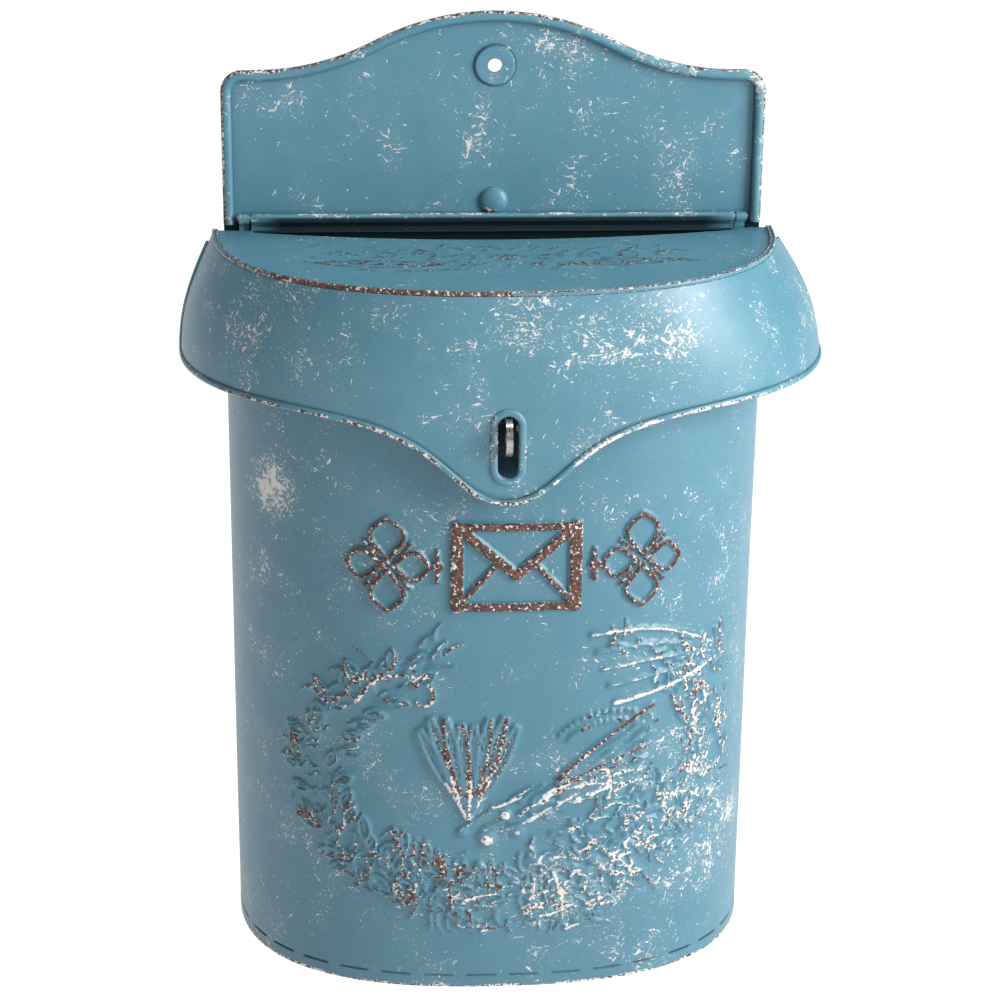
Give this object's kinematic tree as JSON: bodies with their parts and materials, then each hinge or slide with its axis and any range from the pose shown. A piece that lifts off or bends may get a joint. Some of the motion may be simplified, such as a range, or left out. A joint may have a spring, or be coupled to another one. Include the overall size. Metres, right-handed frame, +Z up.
{
  "type": "mailbox",
  "caption": "Wall letter box in thin painted tin: scrolled back plate, D-shaped body, flared hinged lid with a letter slot and a padlock latch.",
  "frame": {"origin": "centre of the hanging hole in the wall plane, which is the flat back of the plate", "axes": "+Z up along the height, -Y out of the wall towards the front, +X to the right seen from the front"},
  "size_m": [0.2603, 0.1068, 0.3841],
  "materials": {
    "painted_tin": "satin turquoise paint, chipped and scratched",
    "painted_tin_inside": "satin turquoise paint",
    "worn_rim": "turquoise paint rubbed through to brown and bare metal along the edge",
    "bare_wire": "drawn steel wire, dull",
    "bare_steel": "bare steel, lightly worn"
  },
  "bodies": {
    "box": {"back_plate": "painted_tin", "plate_rim": "worn_rim", "plate_rim_wire": "bare_wire", "dome_rivet": "worn_rim", "body_shell": "painted_tin", "mouth_rim": "worn_rim", "mouth_rim_wire": "bare_wire", "bottom_pan": "painted_tin_inside", "padlock_staple": "bare_steel", "staple_rivets": "bare_steel", "hinge_rod": "bare_wire", "hinge_ear_left": "worn_rim", "hinge_ear_right": "worn_rim", "ear_rivets": "bare_steel"},
    "lid": {"hinge_barrel": "worn_rim", "lid_panel": "painted_tin", "lid_apron": "painted_tin", "apron_rim": "worn_rim", "apron_rim_wire": "bare_wire", "latch_ring": "worn_rim"}
  },
  "joints": [
    {"name": "lid_hinge", "type": "hinge", "parent": "box", "child": "lid", "pos_m": [0, -0.00425, -0.0607], "axis": [-1, 0, 0], "range_deg": [0, 94]}
  ]
}
